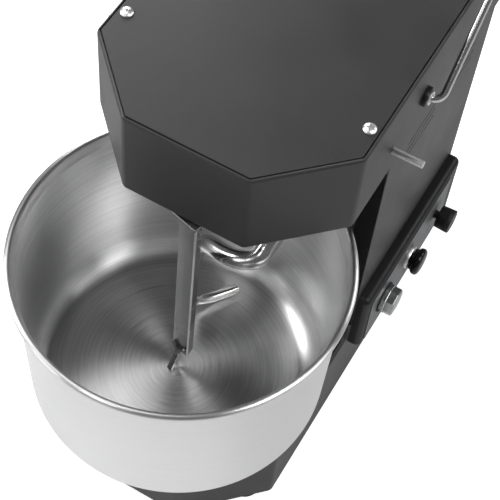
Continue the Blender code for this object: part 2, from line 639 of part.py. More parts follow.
# --- drive ------------------------------------------------------------------------------------
def sprocket(name, teeth, location, bore, thick):
    """A roller-chain sprocket: a disc whose rim rises and falls once for each tooth, with a bore."""
    pitch_radius = TOOTH_PITCH / (2 * math.sin(math.pi / teeth))
    bm = bmesh.new()
    bmesh.ops.create_cone(bm, cap_ends=True, segments=3 * teeth, radius1=pitch_radius, radius2=pitch_radius,
                          depth=thick)
    for vert in bm.verts:
        step = round(math.atan2(vert.co.y, vert.co.x) / (2 * math.pi) * 3 * teeth) % 3
        vert.co.xy *= 1 + (0.0012 if step == 0 else -0.0010) / pitch_radius
    disc = mesh_object(name, bm, location=location, mat="dark_steel")
    hole = cylinder(name + "_bore", bore, thick * 4, location, cutter=True)
    cut(disc, hole)
    return disc


def pulley(name, radius, location, bore):
    """A V-belt pulley, turned, with one groove and a bore."""
    half, groove = 0.008, 0.006
    profile = [(bore, half), (radius, half), (radius - groove, 0.0020), (radius - groove, -0.0020),
               (radius, -half), (bore, -half), (bore, half)]
    return turned(name, profile, location, "cast_iron", steps=40)


def loop_outline(a, ra, b, rb, count=24):
    """The closed path of a belt round two pulleys: two arcs joined by the outer tangents."""
    ax, ay = a
    bx, by = b
    span = math.hypot(bx - ax, by - ay)
    heading = math.degrees(math.atan2(by - ay, bx - ax))
    lean = math.degrees(math.acos((ra - rb) / span))
    far = arc(b, rb, heading - lean, heading + lean, count)
    near = arc(a, ra, heading + lean, heading - lean + 360, count)
    return far + near


def belt_loop(name, a, ra, b, rb, z, width, thick, mat):
    outer = loop_outline(a, ra + thick, b, rb + thick)
    inner = loop_outline(a, ra, b, rb)
    band = outline_prism(name, outer, z - width / 2, z + width / 2, mat)
    hole = outline_prism(name + "_inside", inner, z - width, z + width, cutter=True)
    cut(band, hole)
    return band


def pitch_edge(teeth):
    return TOOTH_PITCH / (2 * math.sin(math.pi / teeth)) + 0.0022


def make_drive():
    motor = [(0, 0.285), (0.030, 0.285), (0.050, 0.279), (0.0525, 0.272), (0.0525, 0.138), (0.048, 0.130),
             (0.028, 0.125), (0, 0.125)]
    turned("motor", motor, (*MOTOR, 0), "cast_iron", steps=32)
    cylinder("motor_shaft", 0.0070, 0.122, (*MOTOR, 0.3465), mat="dark_steel", sides=16)
    pulley("motor_pulley", MOTOR_PULLEY_R, (*MOTOR, BELT_Z), 0.0074)
    cylinder("layshaft", 0.0070, 0.3620, (*LAYSHAFT, 0.2300), mat="dark_steel", sides=16)
    pulley("layshaft_pulley", LAY_PULLEY_R, (*LAYSHAFT, BELT_Z), 0.0074)
    sprocket("layshaft_top_sprocket", LAY_TOP_TEETH, (*LAYSHAFT, TOP_CHAIN_Z), 0.0074, 0.006)
    sprocket("layshaft_bottom_sprocket", LAY_BOTTOM_TEETH, (*LAYSHAFT, BOTTOM_CHAIN_Z), 0.0074, 0.006)
    sprocket("hook_sprocket", HOOK_TEETH, (HOOK_X, HOOK_Y, TOP_CHAIN_Z), 0.0104, 0.006)
    for name, z in (("layshaft_top_bearing", 0.3600), ("layshaft_bottom_bearing", 0.0860)):
        ring(name, 0.0074, 0.0180, z - 0.006, z + 0.006, (*LAYSHAFT, 0), "dark_steel", steps=24)


def make_loops():
    groove = 0.0050
    belt_loop("drive_belt", MOTOR, MOTOR_PULLEY_R - groove, LAYSHAFT, LAY_PULLEY_R - groove, BELT_Z, 0.0030,
              0.0062, "rubber")
    belt_loop("hook_chain", (HOOK_X, HOOK_Y), pitch_edge(HOOK_TEETH), LAYSHAFT, pitch_edge(LAY_TOP_TEETH),
              TOP_CHAIN_Z, 0.0050, 0.0030, "dark_steel")
    belt_loop("bowl_chain", (0, 0), pitch_edge(BOWL_TEETH), LAYSHAFT, pitch_edge(LAY_BOTTOM_TEETH),
              BOTTOM_CHAIN_Z, 0.0050, 0.0030, "dark_steel")


def main():
    global MACHINE, PARTS, CUTTERS
    clear_scene()
    PARTS = new_collection("spiral_dough_mixer")
    CUTTERS = new_collection("cutters")
    MACHINE = bpy.data.objects.new("machine", None)
    PARTS.objects.link(MACHINE)
    MACHINE.location = (CENTRE_X, CENTRE_Y, 0)
    make_housing()
    make_top_cover()
    make_rear_panel()
    make_base_fittings()
    make_control_box()
    make_controls()
    make_bowl()
    make_hook()
    make_breaker()
    make_guard()
    make_guard_fittings()
    make_drive()
    make_loops()


main()
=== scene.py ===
# %% [markdown]
# # A tabletop spiral dough mixer
# A spiral mixer kneads in a turning bowl: a hook turns on the spot, a fixed breaker bar stops the
# dough from riding round with it, and a folded steel housing holds the drive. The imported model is
# the fixed frame. Every piece below is modelled again at its place, with the bends, recesses and
# turned edges that a maker would give it, and rides on the part that it belongs to.

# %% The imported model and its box
import math

import bmesh
import bpy
from mathutils import Matrix, Vector


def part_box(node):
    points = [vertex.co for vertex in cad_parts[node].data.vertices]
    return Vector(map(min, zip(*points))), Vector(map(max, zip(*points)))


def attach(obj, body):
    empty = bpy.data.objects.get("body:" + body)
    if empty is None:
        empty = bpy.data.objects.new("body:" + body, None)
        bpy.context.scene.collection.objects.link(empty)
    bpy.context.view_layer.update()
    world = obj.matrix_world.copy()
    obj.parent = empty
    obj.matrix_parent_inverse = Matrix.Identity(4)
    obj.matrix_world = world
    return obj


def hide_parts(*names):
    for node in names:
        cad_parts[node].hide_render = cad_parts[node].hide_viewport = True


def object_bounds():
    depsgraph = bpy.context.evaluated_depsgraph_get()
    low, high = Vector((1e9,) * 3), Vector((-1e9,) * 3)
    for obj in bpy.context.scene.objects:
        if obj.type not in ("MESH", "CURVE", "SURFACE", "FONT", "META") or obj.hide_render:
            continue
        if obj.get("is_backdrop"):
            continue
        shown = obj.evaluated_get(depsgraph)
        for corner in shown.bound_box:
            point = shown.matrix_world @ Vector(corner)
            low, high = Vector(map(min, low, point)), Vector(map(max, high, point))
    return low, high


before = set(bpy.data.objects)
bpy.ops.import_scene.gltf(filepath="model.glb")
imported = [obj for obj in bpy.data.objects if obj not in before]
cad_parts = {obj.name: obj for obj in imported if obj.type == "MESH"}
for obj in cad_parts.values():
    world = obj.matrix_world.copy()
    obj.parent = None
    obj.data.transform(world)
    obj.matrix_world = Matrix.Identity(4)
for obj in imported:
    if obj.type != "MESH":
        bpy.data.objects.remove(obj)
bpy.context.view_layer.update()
bowl_low, bowl_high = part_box("bowl_bearing")
AXIS = (bowl_low + bowl_high) / 2        # the bowl's axis, the machine's own origin in plan
GAP = 0.0003                             # air between pieces that touch


def at(x, y, z):
    """A place measured from the bowl's axis and the table, in metres."""
    return Vector((AXIS.x + x, AXIS.y + y, z))


# %% [markdown]
# ## Working by hand, in code
# Each operator below is one that a person would press a key for. A line is drawn by extruding one
# vertex from point to point. From it come two kinds of blank: a prism, which is an outline given a
# length, as sheet and bar are cut, and a turned shape, spun round an axis, as a lathe would make
# it.

# %% Drawing, prisms and turned blanks
def begin():
    """Object mode, with nothing selected."""
    if bpy.context.object and bpy.context.object.mode == "EDIT":
        bpy.ops.object.mode_set(mode="OBJECT")
    bpy.ops.object.select_all(action="DESELECT")


def select_only(piece):
    begin()
    piece.select_set(True)
    bpy.context.view_layer.objects.active = piece


def draw(points, closed=False):
    """A line through points, drawn vertex by vertex; it is left in edit mode."""
    begin()
    bpy.ops.mesh.primitive_plane_add(size=0.001, location=points[0])
    bpy.ops.object.mode_set(mode="EDIT")
    bpy.ops.mesh.select_mode(type="VERT")
    bpy.ops.mesh.merge(type="CENTER")
    for a, b in zip(points, points[1:] + ([points[0]] if closed else [])):
        bpy.ops.mesh.extrude_region_move(TRANSFORM_OT_translate={"value": Vector(b) - Vector(a)})
    tidy()


def tidy():
    bpy.ops.mesh.select_all(action="SELECT")
    bpy.ops.mesh.remove_doubles(threshold=1e-6)
    if bpy.context.object.data.total_face_sel:
        bpy.ops.mesh.normals_make_consistent(inside=False)


def prism(outline, length):
    """A closed outline, filled and extruded by the vector length."""
    draw(outline, closed=True)
    bpy.ops.mesh.edge_face_add()
    bpy.ops.mesh.extrude_region_move(TRANSFORM_OT_translate={"value": length})
    bpy.ops.mesh.select_all(action="SELECT")
    bpy.ops.mesh.normals_make_consistent(inside=False)
    return bpy.context.object


UPRIGHT = {"X": Vector((0, 0, 1)), "Y": Vector((1, 0, 0)), "Z": Vector((1, 0, 0))}


def turned(profile, centre, axis="Z", steps=64, sign=1):
    """A profile of (radius, height) pairs, spun once round an axis through centre."""
    along = Vector([float(axis == c) for c in "XYZ"])
    draw([centre + UPRIGHT[axis] * r + along * sign * h for r, h in profile])
    bpy.ops.mesh.spin(steps=steps, angle=2 * math.pi, center=centre, axis=along)
    tidy()
    bpy.ops.mesh.normals_make_consistent(inside=False)
    return bpy.context.object


# %% [markdown]
# ## Cutting, rounding and finishing
# Holes and recesses are cut with a second solid, which is then thrown away. A bent or milled edge
# is never sharp: the Bevel modifier rounds every edge that turns more than a given angle, and
# Weighted Normal keeps the broad faces between the bends flat to the eye.

# %% Cutting, rounding, copying, finishing
def modify(piece, kind, **settings):
    """Add a modifier, set it, and apply it."""
    select_only(piece)
    mod = piece.modifiers.new(kind.lower(), kind)
    for key, value in settings.items():
        setattr(mod, key, value)
    bpy.ops.object.modifier_apply(modifier=mod.name)


def carve(piece, tool, operation="DIFFERENCE"):
    begin()
    modify(piece, "BOOLEAN", operation=operation, solver="EXACT", object=tool)
    bpy.data.objects.remove(tool)


def round_edges(piece, width, segments=3, angle=30):
    modify(piece, "BEVEL", width=width, segments=segments, limit_method="ANGLE",
           angle_limit=math.radians(angle))


def pick(test, kind="faces"):
    """Select, in edit mode, the faces or edges that pass the test."""
    bpy.ops.mesh.select_mode(type=kind[:-1].upper())
    bpy.ops.mesh.select_all(action="DESELECT")
    shape = bmesh.from_edit_mesh(bpy.context.object.data)
    for item in getattr(shape, kind):
        item.select_set(test(item))
    shape.select_flush_mode()
    bmesh.update_edit_mesh(bpy.context.object.data)


def join(*pieces):
    select_only(pieces[0])
    for piece in pieces[1:]:
        piece.select_set(True)
    bpy.ops.object.join()
    return pieces[0]


def duplicate(piece, move):
    """A copy with its own mesh, placed by the matrix move."""
    select_only(piece)
    bpy.ops.object.duplicate()
    made = bpy.context.object
    made.data.transform(move)
    return made


def finish(piece, name, body, look, nodes=(), angle=35, weighted=False):
    """Name a piece, bring its place into its mesh, give it its look and its body, and hide the
    imported nodes that it replaces.
    """
    select_only(piece)
    piece.name = piece.data.name = name
    bpy.ops.object.transform_apply(location=True, rotation=True, scale=True)
    bpy.ops.object.shade_smooth_by_angle(angle=math.radians(angle))
    if weighted:
        modify(piece, "WEIGHTED_NORMAL", keep_sharp=True)
    piece.data.materials.clear()
    piece.data.materials.append(look)
    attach(piece, body)
    if nodes:
        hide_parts(*nodes)
    print(f"{name}: {len(piece.data.polygons)} faces")
    return piece


# %% [markdown]
# ## Rods and wire
# A bent rod is a line with a thickness. The line is drawn, made a curve so that its bevel depth can
# sweep a circle along it, and made a mesh again. The sawn ends get a small rounded edge.

# %% Rods
def rod(points, radius, shares=None, round_end=0.25):
    draw(points)
    select_only(bpy.context.object)
    bpy.ops.object.convert(target="CURVE")
    curve = bpy.context.object.data
    curve.bevel_depth, curve.bevel_resolution, curve.use_fill_caps = radius, 5, True
    spots = curve.splines[0].points
    if shares:
        world = bpy.context.object.matrix_world
        flipped = (world @ spots[0].co.xyz - Vector(points[0])).length > 1e-4
        for spot, share in zip(spots, reversed(shares) if flipped else shares):
            spot.radius = share
    bpy.ops.object.convert(target="MESH")
    bpy.ops.object.mode_set(mode="EDIT")
    tidy()
    pick(lambda face: len(face.verts) > 6)
    bpy.ops.mesh.bevel(offset=radius * round_end, segments=3, affect="EDGES")
    bpy.ops.mesh.select_all(action="SELECT")
    bpy.ops.mesh.normals_make_consistent(inside=False)
    return bpy.context.object


# %% [markdown]
# ## Colours and nodes
# Colours are written as the hex values of a paint card and turned to linear light by one function.
# A second function adds a node with its settings and its links.

# %% Colour and node helpers
def linear(code):
    """An sRGB hex value as linear red, green, blue and alpha."""
    parts = [int(code[i:i + 2], 16) / 255 for i in (1, 3, 5)]
    return tuple(p / 12.92 if p <= 0.04045 else ((p + 0.055) / 1.055) ** 2.4
                 for p in parts) + (1.0,)


def add(tree, kind, inputs=None, **settings):
    """A shader node with its settings; inputs gives each socket a value or an output to link."""
    made = tree.nodes.new("ShaderNode" + kind)
    for key, value in settings.items():
        setattr(made, key, value)
    for key, value in (inputs or {}).items():
        if isinstance(value, bpy.types.NodeSocket):
            tree.links.new(value, made.inputs[key])
        else:
            made.inputs[key].default_value = value
    return made


def new_look(name, **values):
    """A material with its tree, its shader, and object coordinates in metres."""
    look = bpy.data.materials.new(name)
    look.use_nodes = True
    tree = look.node_tree
    shader = tree.nodes["Principled BSDF"]
    for key, value in values.items():
        shader.inputs[key.replace("_", " ")].default_value = value
    where = add(tree, "TexCoord").outputs["Object"]
    return look, tree, shader, where


def ramp(tree, factor, low, high, dark, light):
    """A colour between two hex values as factor goes from low to high."""
    made = add(tree, "ValToRGB", {"Fac": factor})
    for stop, place, code in zip(made.color_ramp.elements, (low, high), (dark, light)):
        stop.position, stop.color = place, linear(code)
    return made.outputs["Color"]


def spread(tree, value, low, high, out_low, out_high):
    """Map a value from one range to another, clamped."""
    return add(tree, "MapRange", {"Value": value, "From Min": low, "From Max": high,
                                  "To Min": out_low, "To Max": out_high}).outputs["Result"]


def bumped(tree, shader, height, strength, distance):
    bump = add(tree, "Bump", {"Height": height, "Strength": strength, "Distance": distance})
    tree.links.new(bump.outputs["Normal"], shader.inputs["Normal"])


# %% [markdown]
# ## Powder coat
# The housing is sheet steel with a polyester powder coat, anthracite, fine texture. The powder
# melts into tiny domes about 0.4 mm across, drawn here at 0.9 mm so that they show, which break up
# the reflection without colour. A slower noise stands for uneven film thickness and handling.

# %% Powder coat
def powder_coat(name, dark, light, rough, index):
    look, tree, shader, where = new_look(name, Metallic=0.0, IOR=index)
    grain = add(tree, "TexNoise", {"Vector": where, "Scale": 1100.0, "Detail": 2.0}).outputs["Fac"]
    film = add(tree, "TexNoise", {"Vector": where, "Scale": 14.0, "Detail": 3.0}).outputs["Fac"]
    both = add(tree, "Math", {0: grain, 1: film}, operation="ADD").outputs[0]
    tree.links.new(ramp(tree, spread(tree, both, 0.6, 1.4, 0, 1), 0.0, 1.0, dark, light),
                   shader.inputs["Base Color"])
    tree.links.new(spread(tree, film, 0.3, 0.7, rough - 0.04, rough + 0.05),
                   shader.inputs["Roughness"])
    bumped(tree, shader, grain, 0.22, 0.00025)
    return look


coat = powder_coat("powder_coat_anthracite", "#2d2c2d", "#363536", 0.47, 1.42)
coat_dark = powder_coat("powder_coat_control_box", "#0d0d0d", "#121212", 0.45, 1.38)

# %% [markdown]
# ## Spun stainless
# A spun bowl is rubbed with abrasive while it turns, so its grain is made of fine circular arcs.
# The grooves spread light across themselves, which draws the bright sectors: an anisotropic
# reflection with the tangent running round the axis. The real grooves are some hundredths of a
# millimetre wide, so they are drawn at 0.5 mm and again at 2 mm to show. The noise changes fast
# along the radius and the height, and slowly round the axis, which gives the arcs their broken
# length.

# %% Spun stainless
def spun_steel(name, centre, rough, turn, colour=("#c8c8c8", "#ececec"), depth=0.00004):
    look, tree, shader, where = new_look(name, Metallic=1.0, Anisotropic=turn,
                                         Anisotropic_Rotation=0.25)
    local = add(tree, "Mapping",
                {"Vector": where, "Location": (-centre.x, -centre.y, 0)}).outputs[0]
    flat = add(tree, "VectorMath", {0: local, 1: (1, 1, 0)}, operation="MULTIPLY").outputs[0]
    radius = add(tree, "VectorMath", {0: flat}, operation="LENGTH").outputs["Value"]
    heading = add(tree, "VectorMath", {0: flat}, operation="NORMALIZE").outputs[0]
    around = add(tree, "VectorMath", {0: heading, "Scale": 1.1}, operation="SCALE").outputs[0]
    height = add(tree, "SeparateXYZ", {0: local}).outputs["Z"]
    step = add(tree, "Math", {0: radius, 1: height}, operation="ADD").outputs[0]
    fine = add(tree, "Math", {0: step, 1: 1900.0}, operation="MULTIPLY").outputs[0]
    arcs = add(tree, "TexNoise", {"Vector": around, "W": fine, "Scale": 1.0, "Detail": 3.0},
               noise_dimensions="4D").outputs["Fac"]
    coarse = add(tree, "Math", {0: step, 1: 520.0}, operation="MULTIPLY").outputs[0]
    bands = add(tree, "TexNoise", {"Vector": around, "W": coarse, "Scale": 1.0, "Detail": 2.0},
                noise_dimensions="4D").outputs["Fac"]
    both = add(tree, "Math", {0: arcs, 1: bands}, operation="ADD").outputs[0]
    tree.links.new(ramp(tree, spread(tree, both, 0.65, 1.35, 0, 1), 0.0, 1.0, *colour),
                   shader.inputs["Base Color"])
    tree.links.new(spread(tree, both, 0.65, 1.35, rough - 0.03, rough + 0.04),
                   shader.inputs["Roughness"])
    tangent = add(tree, "Tangent", direction_type="RADIAL", axis="Z").outputs[0]
    tree.links.new(tangent, shader.inputs["Tangent"])
    bumped(tree, shader, arcs, 0.5, depth)
    return look


spun = spun_steel("stainless_spun_satin", AXIS, 0.30, 0.88)
spun_outside = spun_steel("stainless_spun_outside", AXIS, 0.36, 0.3, ("#dcdcdd", "#e5e5e6"),
                          0.000005)

# %% [markdown]
# ## Polished and drawn stainless
# The hook, the guard and the bar are stainless too, with other finishes. Rod is polished to a near
# mirror, with a faint smear. The bar is ground along its length to a satin face, whose lines are
# drawn 2 mm apart, coarser than real, so that they show. The same helper makes zinc plate, oiled
# machined steel, and painted cast iron, each with the size of its own grain.

# %% Polished rod and ground bar
def drawn_steel(name, rough, stretch, depth, colour=("#bdbdbd", "#d2d2d2")):
    look, tree, shader, where = new_look(name, Metallic=1.0)
    local = add(tree, "Mapping", {"Vector": where, "Scale": stretch}).outputs[0]
    lines = add(tree, "TexNoise", {"Vector": local, "Scale": 1.0, "Detail": 3.0}).outputs["Fac"]
    smear = add(tree, "TexNoise", {"Vector": where, "Scale": 45.0, "Detail": 3.0}).outputs["Fac"]
    tree.links.new(ramp(tree, lines, 0.3, 0.7, *colour), shader.inputs["Base Color"])
    tree.links.new(spread(tree, smear, 0.3, 0.7, rough * 0.75, rough * 1.35),
                   shader.inputs["Roughness"])
    bumped(tree, shader, lines, 0.35, depth)
    return look


polished = drawn_steel("stainless_polished_rod", 0.19, (400, 400, 400), 0.000002,
                       ("#c2c2c2", "#d4d4d4"))
ground = drawn_steel("stainless_ground_bar", 0.22, (500, 500, 5), 0.000003, ("#8f8f8f", "#9e9e9e"))
zinc = drawn_steel("steel_zinc_plated", 0.40, (500, 500, 500), 0.000004, ("#dfdfdf", "#ededec"))
machined = drawn_steel("steel_machined_oiled", 0.32, (120, 120, 1500), 0.00003,
                       ("#6a6a6b", "#8a8a8a"))
cast = drawn_steel("cast_iron_painted", 0.55, (700, 700, 700), 0.0001, ("#3c3f42", "#4b4e51"))

# %% [markdown]
# ## Plastics, foil and rubber
# The knob and the stop button are moulded plastic, one satin with a spark-eroded texture, drawn at
# 0.8 mm so that it shows, and one glossy. The start button is clear grey plastic with a bright
# insert behind it, which gives it a metallic look. The label is printed satin aluminium foil, and
# the feet are moulded rubber, matt with a little dust.

# %% Plastics, foil and rubber
def moulded(name, dark, light, rough, depth, scale=1300.0, **values):
    look, tree, shader, where = new_look(name, **values)
    grain = add(tree, "TexNoise", {"Vector": where, "Scale": scale, "Detail": 2.0}).outputs["Fac"]
    wear = add(tree, "TexNoise", {"Vector": where, "Scale": 60.0, "Detail": 4.0}).outputs["Fac"]
    tree.links.new(ramp(tree, wear, 0.3, 0.7, dark, light), shader.inputs["Base Color"])
    tree.links.new(spread(tree, wear, 0.3, 0.7, rough - 0.05, rough + 0.07),
                   shader.inputs["Roughness"])
    bumped(tree, shader, grain, 0.3, depth)
    return look


knob_black = moulded("plastic_satin_black", "#0b0b0b", "#101010", 0.42, 0.00003, IOR=1.4)
gloss_black = moulded("plastic_gloss_black", "#050505", "#090909", 0.22, 0.00001, scale=300.0,
                      IOR=1.38)
clear_grey = moulded("plastic_clear_grey", "#8f9090", "#a0a1a1", 0.14, 0.00001, scale=250.0,
                     Metallic=0.9)
foil = moulded("foil_satin_aluminium", "#6a6c6e", "#747678", 0.45, 0.00001, Metallic=0.3, IOR=1.35)
# a near-black colour for the side walls of the vent slots: painted shade
slot_wall_shade = moulded("slot_wall_painted_shade", "#060606", "#0a0a0a", 0.8, 0.00003,
                    Specular_IOR_Level=0.1)
print_ink = moulded("print_ink_black", "#141414", "#1c1c1c", 0.5, 0.00001)
print_white = moulded("print_ink_white", "#d8d8d6", "#e4e4e2", 0.5, 0.00001)
rubber = moulded("rubber_moulded_black", "#1b1b1b", "#242423", 0.78, 0.0001, scale=900.0)
print("materials:", len(bpy.data.materials))

# %% [markdown]
# ## The housing
# The body is a folded and welded box: base, column and head in one skin, C-shaped from the side,
# with both front corners of the base and the head cut at 45 degrees. It starts as its side view
# given the machine's width. The corners are cut off, all bends are rounded to 3 mm, and only then
# come the recesses, because a pressed or cut opening has no bend round it.

# %% Housing sizes and outlines
HALF, WALL, BEND = 0.1125, 0.002, 0.003
BOTTOM, DECK, HEAD_LOW, TOP = 0.0152, 0.112, 0.3705, 0.457
BASE_FRONT, BASE_CUT = -0.0785, 0.066
HEAD_FRONT, HEAD_CUT, HEAD_REAR = -0.0015, 0.060, 0.343
REAR_LOW, COLUMN, RECESS, REAR = 0.3718, 0.120, 0.025, 0.319


def plan(half_outline, z):
    """A plan outline from its +X half, front to rear, mirrored."""
    return [at(x, y, z) for x, y in half_outline + [(-x, y) for x, y in reversed(half_outline)]]


def shell(front, cut_size, rear, inset, z):
    slope, half = inset * math.tan(math.radians(22.5)), HALF - inset
    return plan([(HALF - cut_size - slope, front + inset), (half, front + cut_size + slope),
                 (half, rear - inset)], z)


def block(low, high):
    """A box between two corners, from a cube primitive added at its place and size."""
    begin()
    low, high = at(*low), at(*high)
    bpy.ops.mesh.primitive_cube_add(size=1, location=(low + high) / 2, scale=high - low)
    return bpy.context.object


def drill(centre, radius, length, axis="Z", sides=32):
    return turned([(0, -length / 2), (radius, -length / 2), (radius, length / 2), (0, length / 2)],
                  centre, axis, sides)


# %% Housing body
inner_bend = [(COLUMN - 0.012 + 0.012 * math.sin(t), DECK + 0.012 - 0.012 * math.cos(t))
              for t in (math.radians(9 * i) for i in range(11))]
side_view = [(BASE_FRONT, 0.005), (BASE_FRONT, DECK), *inner_bend, (COLUMN, HEAD_LOW),
             (HEAD_FRONT, HEAD_LOW), (HEAD_FRONT, TOP), (HEAD_REAR, TOP), (HEAD_REAR, REAR_LOW),
             (REAR, REAR_LOW), (REAR, 0.005)]
housing = prism([at(-HALF, y, z) for y, z in side_view], (2 * HALF, 0, 0))
for front, size, low, high in ((HEAD_FRONT, HEAD_CUT, HEAD_LOW - 0.02, TOP + 0.02),
                               (BASE_FRONT, BASE_CUT, -0.01, DECK + 0.02)):
    for side in (-1, 1):
        corner = [(HALF - size - 0.02, front - 0.02), (HALF + 0.02, front - 0.02),
                  (HALF + 0.02, front + size + 0.02)]
        carve(housing, prism([at(side * x, y, low) for x, y in corner], (0, 0, high - low)))
round_edges(housing, BEND, 5)

# %% Housing recesses and openings
carve(housing, block((-0.2, -0.2, -0.02), (0.2, 0.4, BOTTOM)))
carve(housing,
      prism(plan([(HALF + 0.0108, COLUMN - 0.01), (HALF - RECESS, COLUMN + RECESS + 0.0008)],
                 DECK + 0.016), (0, 0, HEAD_LOW - DECK - 0.020)))
for inset, low, high in ((0.0021, TOP - 0.0023, TOP + 0.01), (0.018, TOP - 0.01, TOP + 0.01),
                         (WALL, HEAD_LOW + 0.0035, TOP - 0.004)):
    carve(housing, prism(shell(HEAD_FRONT, HEAD_CUT, HEAD_REAR, inset, low), (0, 0, high - low)))
carve(housing, block((WALL - HALF, COLUMN + RECESS + WALL, DECK - 0.01),
                     (HALF - WALL, REAR - WALL, HEAD_LOW + 0.01)))
carve(housing, prism(shell(BASE_FRONT, BASE_CUT, REAR, WALL, 0.01), (0, 0, DECK - WALL - 0.01)))
carve(housing, block((-0.080, REAR - 0.01, 0.150), (0.080, REAR + 0.01, 0.340)))
SLOT_LONG, SLOT_HIGH, SLOT_PITCH, SLOT_LOW = 0.0525, 0.0014, 0.0094, 0.3427
for start in (0.1576, 0.2302):
    for row in range(3):
        low = SLOT_LOW + SLOT_PITCH * row
        carve(housing, block((-0.13, start, low), (0.13, start + SLOT_LONG, low + SLOT_HIGH)))
HOOK, GLAND = (0.032, 0.063), (-0.05, 0.060)
PIVOT = (0.169, 0.412)
for place, radius, length, axis in ((at(0, 0, DECK), 0.0165, 0.02, "Z"),
                                    (at(*HOOK, HEAD_LOW), 0.0165, 0.02, "Z"),
                                    (at(0, *PIVOT), 0.0055, 0.3, "X"),
                                    (at(GLAND[0], REAR, GLAND[1]), 0.0085, 0.02, "Y")):
    carve(housing, drill(place, radius, length, axis))
housing = finish(housing, "housing_shell", "housing", coat, ["housing"],
                 weighted=True)
housing.data.materials.append(slot_wall_shade)
for face in housing.data.polygons:
    # the side walls of the vent slots, coloured near black as painted shade so that the slots read
    # dark
    spot = face.center - at(0, 0, 0)
    in_wall = HALF - 0.0025 < abs(spot.x) < HALF - 0.0001 and abs(face.normal.x) < 0.5
    face.material_index = int(in_wall and 0.157 < spot.y < 0.283 and 0.342 < spot.z < 0.364)
print("housing box:", [round(1000 * v) for v in housing.dimensions])

# %% [markdown]
# ## The top cover and its screws
# The cover is a flat plate let into the top of the head, level with the bend round it, so that only
# a thin dark joint shows. Each screw is a pan head with a cross recess: a domed turned head, and
# two crossing tapered blades that are cut out of it. One is modelled, and the others are copies of
# it.

# %% Top cover
cover = prism(shell(HEAD_FRONT, HEAD_CUT, HEAD_REAR, 0.0032, TOP - 0.002), (0, 0, 0.002))
round_edges(cover, 0.0007, 3)
SCREWS = [(side * 0.102, y) for y in (0.084, 0.300) for side in (-1, 1)]
REAR_SCREWS, REAR_SCREW_Z, SCREW_HOLE, PANEL = (-0.084, 0.084), 0.344, 0.0027, 0.0015
for x, y in SCREWS:
    carve(cover, drill(at(x, y, TOP), SCREW_HOLE, 0.02, sides=20))
finish(cover, "top_cover_plate", "housing", coat, ["top_cover"], weighted=True)

# %% A cross-recess screw and its copies
dome = [(0.0055 * math.cos(math.radians(a)), 0.0026 * math.sin(math.radians(a)))
        for a in range(82, 3, -8)]
head_profile = [(0, 0.0026), *dome, (0.0055, 0), (0.0023, 0), (0.0023, -0.0045), (0, -0.0045)]
screw = turned(head_profile, Vector((0, 0, 0)), steps=40)
for turn in (0, 90):
    blade = prism([Vector((x, y, 0.0008)) for x, y in ((-0.0022, -0.0004), (0.0022, -0.0004),
                                                       (0.0022, 0.0004), (-0.0022, 0.0004))],
                  (0, 0, 0.003))
    pick(lambda face: face.normal.z > 0.9)
    bpy.ops.transform.resize(value=(1.5, 1.9, 1))
    begin()
    blade.data.transform(Matrix.Rotation(math.radians(turn), 4, "Z") @ blade.matrix_basis)
    blade.matrix_basis = Matrix.Identity(4)
    carve(screw, blade)
for n, (x, y) in enumerate(SCREWS):
    # each screw stopped where it was tight, so the crosses point different ways
    place = Matrix.Translation(at(x, y, TOP + GAP)) @ Matrix.Rotation(0.5 + 1.3 * n, 4, "Z")
    finish(duplicate(screw, place), f"cover_screw_pan_{n + 1}", "housing", zinc,
           [f"cover_screw_{n + 1}"])
for n, x in enumerate(REAR_SCREWS):
    place = Matrix.Translation(at(x, REAR + 2 * GAP + PANEL, REAR_SCREW_Z))
    place = place @ Matrix.Rotation(-math.pi / 2, 4, "X")
    finish(duplicate(screw, place), f"rear_screw_pan_{n + 1}", "housing", zinc,
           [f"rear_screw_{n + 1}"])
bpy.data.objects.remove(screw)

# %% [markdown]
# ## The rear panel, the feet and the cable gland
# The plate behind the column comes off for work on the drive. It has rows of short ventilation
# slots over the motor. The feet are turned rubber with a rolled lower edge and a moulded ring, and
# the cable leaves through a gland with a hexagon body and a ribbed dome nut.

# %% Rear panel
back = REAR + GAP
panel = block((-0.092, back, 0.138), (0.092, back + PANEL, 0.352))
round_edges(panel, 0.0005, 2)
for column in (-0.034, 0.034):
    for row in range(7):
        low = 0.205 + 0.012 * row
        carve(panel, block((column - 0.024, back - 0.01, low),
                           (column + 0.024, back + 0.01, low + 0.003)))
for x in REAR_SCREWS:
    carve(panel, drill(at(x, back, REAR_SCREW_Z), SCREW_HOLE, 0.02, "Y", 20))
finish(panel, "rear_panel_plate", "housing", coat, ["rear_panel"], weighted=True)

# %% Feet
foot_profile = [(0, 0.0149), (0.0128, 0.0149), (0.0136, 0.0143), (0.0148, 0.0090), (0.0156, 0.0084),
                (0.0156, 0.0070), (0.0159, 0.0062), (0.0165, 0.0030), (0.0163, 0.0012),
                (0.0150, 0.0), (0.0090, 0.0), (0.0080, 0.0008), (0, 0.0008)]
for n, (x, y) in enumerate(((-0.084, -0.012), (0.084, -0.012), (-0.088, 0.290), (0.088, 0.290))):
    finish(turned(foot_profile, at(x, y, 0), steps=48), f"foot_rubber_{n + 1}", "housing", rubber,
           [f"foot_{n + 1}"])

# %% Cable gland
gland_at = at(GLAND[0], REAR - WALL - 0.001, GLAND[1])
hexagon = turned([(0.0045, 0.0095), (0.0110, 0.0095), (0.0125, 0.0090), (0.0125, 0.0038),
                  (0.0120, 0.0033), (0.0045, 0.0033)], gland_at, "Y", 6)
ribs = [(0.0100 - 0.00035 * (i % 2), 0.0098 + 0.0003 * i) for i in range(8)]
nut = turned([(0.0045, 0.0096), *ribs, (0.0090, 0.0124), (0.0078, 0.0150), (0.0065, 0.0160),
              (0.0052, 0.0160), (0.0045, 0.0152), (0.0045, -0.0060), (0.0078, -0.0060),
              (0.0078, 0.0032)], gland_at, "Y", 40)
finish(join(hexagon, nut), "cable_gland_nut", "housing", knob_black,
       ["cable_gland"])

